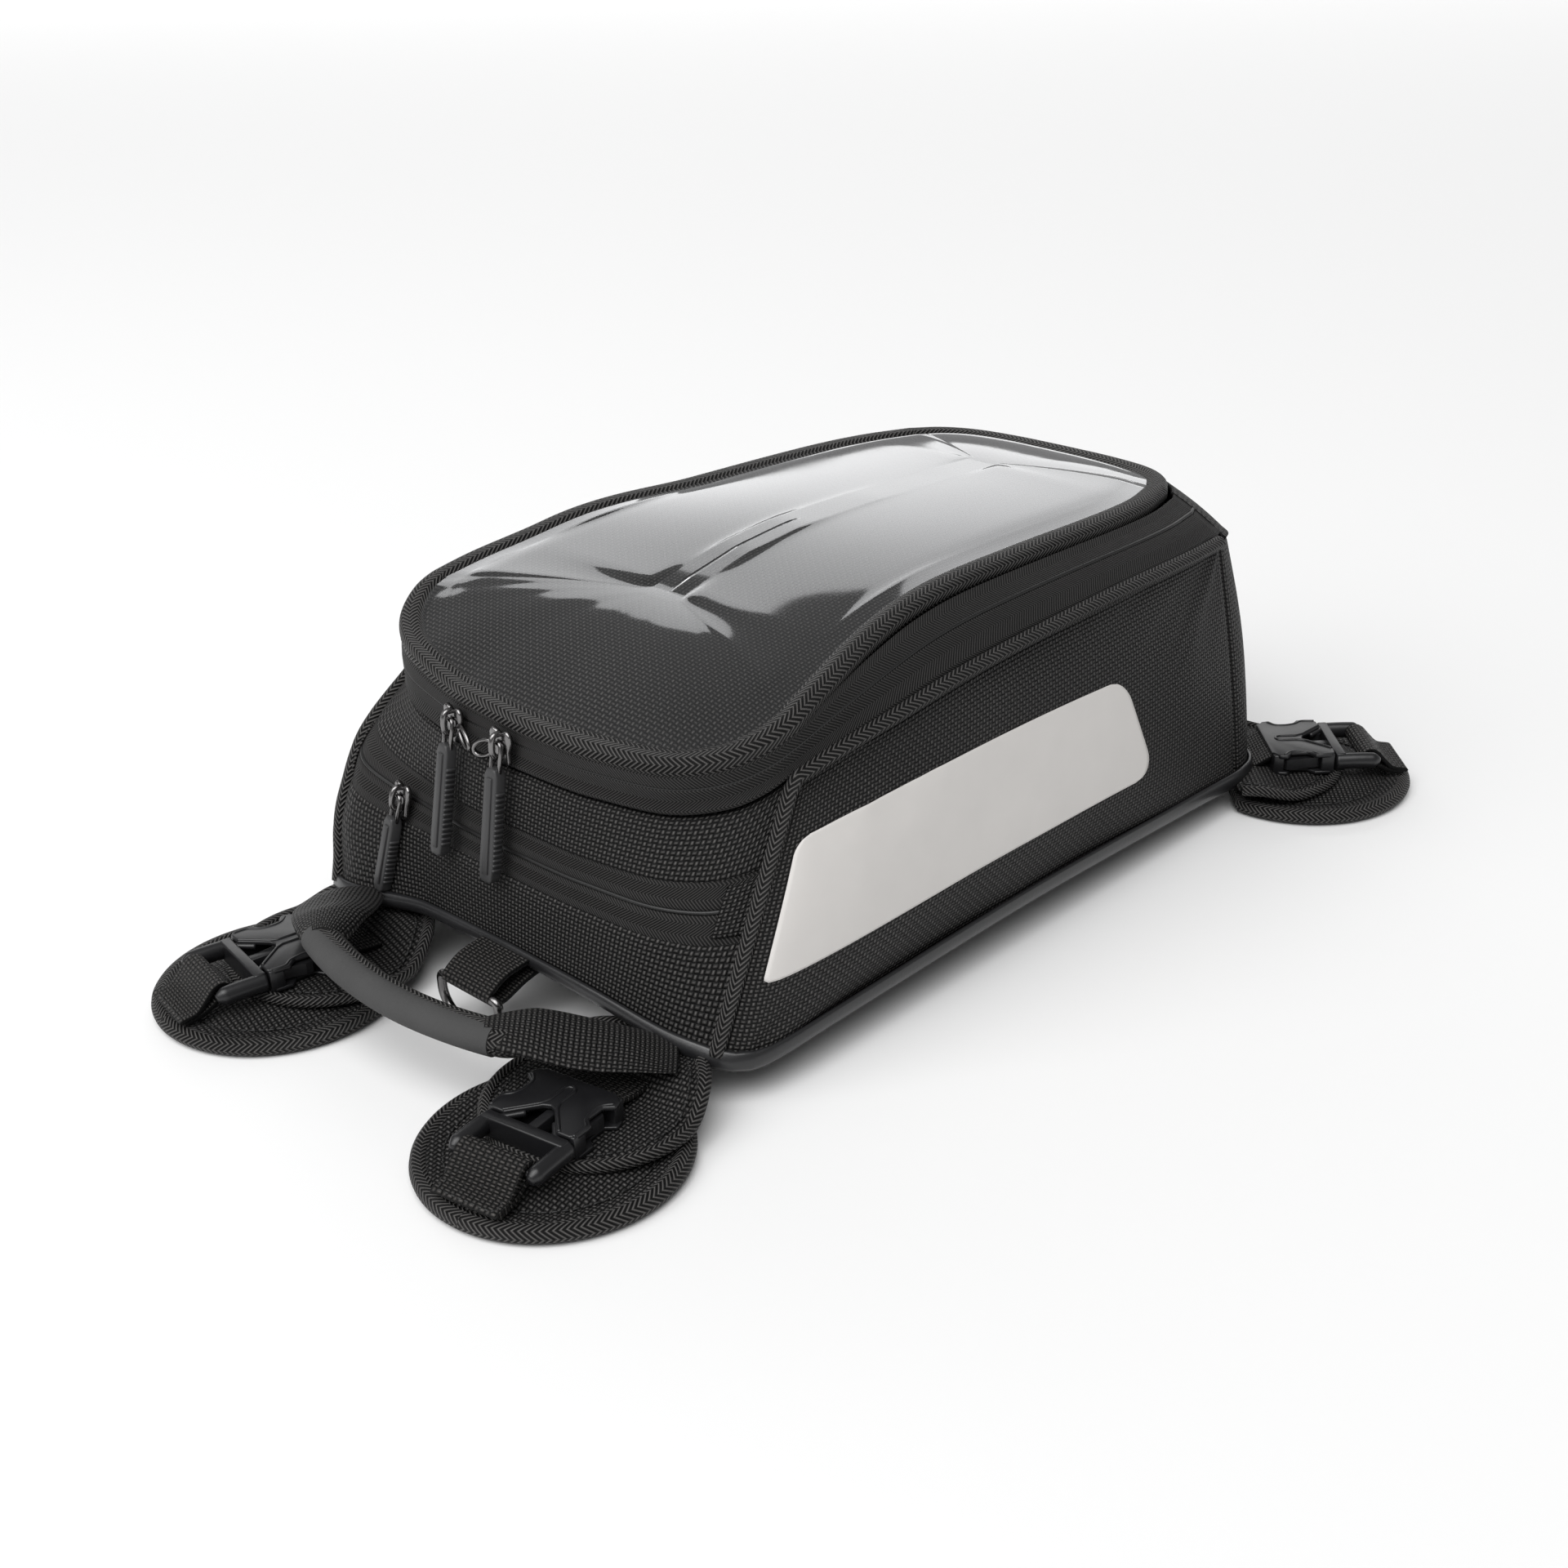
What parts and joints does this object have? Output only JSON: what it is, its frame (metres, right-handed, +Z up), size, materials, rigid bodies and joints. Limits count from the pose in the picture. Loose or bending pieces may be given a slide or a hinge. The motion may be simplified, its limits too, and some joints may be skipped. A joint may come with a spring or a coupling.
{
  "type": "motorcycle tank bag",
  "caption": "Motorcycle tank bag with a zipped lid and clear map window, front pocket, carrying handle and magnet pads on side-release buckles.",
  "frame": {"origin": "under the middle of the whole object, on the surface that the magnet pads lie on", "axes": "+Y from the zip end to the lid's fold, +X the right side seen from behind the zip end, +Z up"},
  "size_m": [0.286, 0.446, 0.129],
  "materials": {
    "ballistic_fabric": "coarse black basket weave polyester",
    "rubberised_base": "semi-gloss coated fabric",
    "board": "stiff sheet",
    "lining_fabric": "plain grey lining",
    "piping_braid": "herringbone woven binding",
    "reflective_film": "light grey reflective film",
    "zip_tape": "dark grey herringbone tape",
    "webbing": "ribbed 25 mm webbing",
    "clear_vinyl": "clear gloss vinyl",
    "foam_core": "soft core",
    "black_nickel": "black nickel plate",
    "pull_rubber": "dark grey moulded rubber",
    "buckle_plastic": "satin black moulded plastic",
    "magnet_steel": "plated flat disc magnet"
  },
  "bodies": {
    "bag": {"base_panel": "rubberised_base", "base_board": "board", "side_panel_left": "ballistic_fabric", "side_panel_right": "ballistic_fabric", "front_pocket_panel": "ballistic_fabric", "front_upper_panel": "ballistic_fabric", "rear_panel": "ballistic_fabric", "pocket_divider": "lining_fabric", "lining": "lining_fabric", "side_piping": "piping_braid", "reflective_panels": "reflective_film", "lid_zip_lower_half": "zip_tape", "pocket_zip": "zip_tape", "ring_webbing": "webbing"},
    "lid": {"lid_panel": "ballistic_fabric", "map_window": "clear_vinyl", "lid_rim_binding": "piping_braid", "lid_zip_upper_half": "zip_tape"},
    "lid_slider_left": {"lid_slider_left": "black_nickel"},
    "lid_slider_right": {"lid_slider_right": "black_nickel"},
    "pocket_slider": {"pocket_slider": "black_nickel"},
    "lid_pull_left": {"lid_pull_left": "pull_rubber"},
    "lid_pull_right": {"lid_pull_right": "pull_rubber"},
    "pocket_pull": {"pocket_pull": "pull_rubber"},
    "handle": {"handle_core": "foam_core", "handle_cover": "piping_braid", "handle_ends": "ballistic_fabric"},
    "d_ring": {"d_ring": "black_nickel"},
    "flap_front_right": {"flap_front_right": "ballistic_fabric", "buckle_female_front_right": "buckle_plastic"},
    "pad_front_right": {"pad_front_right": "ballistic_fabric", "pad_magnet_front_right": "magnet_steel", "pad_strap_front_right": "webbing", "buckle_male_front_right": "buckle_plastic"},
    "buckle_prong_in_front_right": {"buckle_prong_in_front_right": "buckle_plastic"},
    "buckle_prong_out_front_right": {"buckle_prong_out_front_right": "buckle_plastic"},
    "flap_front_left": {"flap_front_left": "ballistic_fabric", "buckle_female_front_left": "buckle_plastic"},
    "pad_front_left": {"pad_front_left": "ballistic_fabric", "pad_magnet_front_left": "magnet_steel", "pad_strap_front_left": "webbing", "buckle_male_front_left": "buckle_plastic"},
    "buckle_prong_in_front_left": {"buckle_prong_in_front_left": "buckle_plastic"},
    "buckle_prong_out_front_left": {"buckle_prong_out_front_left": "buckle_plastic"},
    "flap_rear_right": {"flap_rear_right": "ballistic_fabric", "buckle_female_rear_right": "buckle_plastic"},
    "pad_rear_right": {"pad_rear_right": "ballistic_fabric", "pad_magnet_rear_right": "magnet_steel", "pad_strap_rear_right": "webbing", "buckle_male_rear_right": "buckle_plastic"},
    "buckle_prong_in_rear_right": {"buckle_prong_in_rear_right": "buckle_plastic"},
    "buckle_prong_out_rear_right": {"buckle_prong_out_rear_right": "buckle_plastic"},
    "flap_rear_left": {"flap_rear_left": "ballistic_fabric", "buckle_female_rear_left": "buckle_plastic"},
    "pad_rear_left": {"pad_rear_left": "ballistic_fabric", "pad_magnet_rear_left": "magnet_steel", "pad_strap_rear_left": "webbing", "buckle_male_rear_left": "buckle_plastic"},
    "buckle_prong_in_rear_left": {"buckle_prong_in_rear_left": "buckle_plastic"},
    "buckle_prong_out_rear_left": {"buckle_prong_out_rear_left": "buckle_plastic"}
  },
  "joints": [
    {"name": "lid_hinge", "type": "hinge", "parent": "bag", "child": "lid", "pos_m": [0, 0.161, 0.113], "axis": [-1, 0, 0], "range_deg": [0, 105]},
    {"name": "lid_slider_left_run", "type": "hinge", "parent": "bag", "child": "lid_slider_left", "pos_m": [0, 0.134, 0.094], "axis": [0, 0, 1], "range_deg": [-4, 0]},
    {"name": "lid_pull_left_lift", "type": "hinge", "parent": "lid_slider_left", "child": "lid_pull_left", "pos_m": [-0.03042, -0.12784, 0.094], "axis": [-0.9933, 0.1154, 0], "range_deg": [0, 150]},
    {"name": "lid_slider_right_run", "type": "hinge", "parent": "bag", "child": "lid_slider_right", "pos_m": [0, 0.134, 0.094], "axis": [0, 0, 1], "range_deg": [0, 12.4]},
    {"name": "lid_pull_right_lift", "type": "hinge", "parent": "lid_slider_right", "child": "lid_pull_right", "pos_m": [-0.00405, -0.12957, 0.094], "axis": [-0.9999, 0.0154, 0], "range_deg": [0, 150]},
    {"name": "pocket_slider_run", "type": "hinge", "parent": "bag", "child": "pocket_slider", "pos_m": [0, 0.22597, 0.0575], "axis": [0, 0, 1], "range_deg": [0, 3]},
    {"name": "pocket_pull_lift", "type": "hinge", "parent": "pocket_slider", "child": "pocket_pull", "pos_m": [-0.05859, -0.12883, 0.0575], "axis": [-0.9866, 0.1629, 0], "range_deg": [0, 150]},
    {"name": "handle_lift", "type": "hinge", "parent": "bag", "child": "handle", "pos_m": [0, -0.143, 0.0185], "axis": [-1, 0, 0], "range_deg": [0, 45]},
    {"name": "d_ring_swing", "type": "hinge", "parent": "bag", "child": "d_ring", "pos_m": [0, -0.153, 0.018], "axis": [1, 0, 0], "range_deg": [-75, 75]},
    {"name": "flap_front_right_fold", "type": "hinge", "parent": "bag", "child": "flap_front_right", "pos_m": [0.069, -0.1375, 0.0095], "axis": [-1, 0, 0], "range_deg": [-30, 0]},
    {"name": "pad_front_right_release", "type": "slide", "parent": "flap_front_right", "child": "pad_front_right", "axis": [0.1736, -0.9848, 0], "range_m": [0, 0.014]},
    {"name": "buckle_prong_in_front_right_squeeze", "type": "hinge", "parent": "pad_front_right", "child": "buckle_prong_in_front_right", "pos_m": [0.08221, -0.18816, 0.01425], "axis": [0, 0, 1], "range_deg": [0, 10]},
    {"name": "buckle_prong_out_front_right_squeeze", "type": "hinge", "parent": "pad_front_right", "child": "buckle_prong_out_front_right", "pos_m": [0.06291, -0.19157, 0.01425], "axis": [0, 0, -1], "range_deg": [0, 10]},
    {"name": "flap_front_left_fold", "type": "hinge", "parent": "bag", "child": "flap_front_left", "pos_m": [-0.069, -0.1375, 0.0095], "axis": [-1, 0, 0], "range_deg": [-30, 0]},
    {"name": "pad_front_left_release", "type": "slide", "parent": "flap_front_left", "child": "pad_front_left", "axis": [-0.1736, -0.9848, 0], "range_m": [0, 0.014]},
    {"name": "buckle_prong_in_front_left_squeeze", "type": "hinge", "parent": "pad_front_left", "child": "buckle_prong_in_front_left", "pos_m": [-0.08221, -0.18816, 0.01425], "axis": [0, 0, -1], "range_deg": [0, 10]},
    {"name": "buckle_prong_out_front_left_squeeze", "type": "hinge", "parent": "pad_front_left", "child": "buckle_prong_out_front_left", "pos_m": [-0.06291, -0.19157, 0.01425], "axis": [0, 0, 1], "range_deg": [0, 10]},
    {"name": "flap_rear_right_fold", "type": "hinge", "parent": "bag", "child": "flap_rear_right", "pos_m": [0.0896, 0.1576, 0.0095], "axis": [0.7071, -0.7071, 0], "range_deg": [-30, 30]},
    {"name": "pad_rear_right_release", "type": "slide", "parent": "flap_rear_right", "child": "pad_rear_right", "axis": [0.7071, 0.7071, 0], "range_m": [0, 0.014]},
    {"name": "buckle_prong_in_rear_right_squeeze", "type": "hinge", "parent": "pad_rear_right", "child": "buckle_prong_in_rear_right", "pos_m": [0.10043, 0.19429, 0.01425], "axis": [0, 0, 1], "range_deg": [0, 10]},
    {"name": "buckle_prong_out_rear_right_squeeze", "type": "hinge", "parent": "pad_rear_right", "child": "buckle_prong_out_rear_right", "pos_m": [0.11429, 0.18043, 0.01425], "axis": [0, 0, -1], "range_deg": [0, 10]},
    {"name": "flap_rear_left_fold", "type": "hinge", "parent": "bag", "child": "flap_rear_left", "pos_m": [-0.0896, 0.1576, 0.0095], "axis": [0.7071, 0.7071, 0], "range_deg": [-30, 30]},
    {"name": "pad_rear_left_release", "type": "slide", "parent": "flap_rear_left", "child": "pad_rear_left", "axis": [-0.7071, 0.7071, 0], "range_m": [0, 0.014]},
    {"name": "buckle_prong_in_rear_left_squeeze", "type": "hinge", "parent": "pad_rear_left", "child": "buckle_prong_in_rear_left", "pos_m": [-0.10043, 0.19429, 0.01425], "axis": [0, 0, -1], "range_deg": [0, 10]},
    {"name": "buckle_prong_out_rear_left_squeeze", "type": "hinge", "parent": "pad_rear_left", "child": "buckle_prong_out_rear_left", "pos_m": [-0.11429, 0.18043, 0.01425], "axis": [0, 0, 1], "range_deg": [0, 10]}
  ],
  "couplings": [
    {"joint": "buckle_prong_in_front_right_squeeze", "follows": "pad_front_right_release", "rad_per_m": 12.4},
    {"joint": "buckle_prong_out_front_right_squeeze", "follows": "pad_front_right_release", "rad_per_m": 12.4},
    {"joint": "buckle_prong_in_front_left_squeeze", "follows": "pad_front_left_release", "rad_per_m": 12.4},
    {"joint": "buckle_prong_out_front_left_squeeze", "follows": "pad_front_left_release", "rad_per_m": 12.4},
    {"joint": "buckle_prong_in_rear_right_squeeze", "follows": "pad_rear_right_release", "rad_per_m": 12.4},
    {"joint": "buckle_prong_out_rear_right_squeeze", "follows": "pad_rear_right_release", "rad_per_m": 12.4},
    {"joint": "buckle_prong_in_rear_left_squeeze", "follows": "pad_rear_left_release", "rad_per_m": 12.4},
    {"joint": "buckle_prong_out_rear_left_squeeze", "follows": "pad_rear_left_release", "rad_per_m": 12.4}
  ]
}
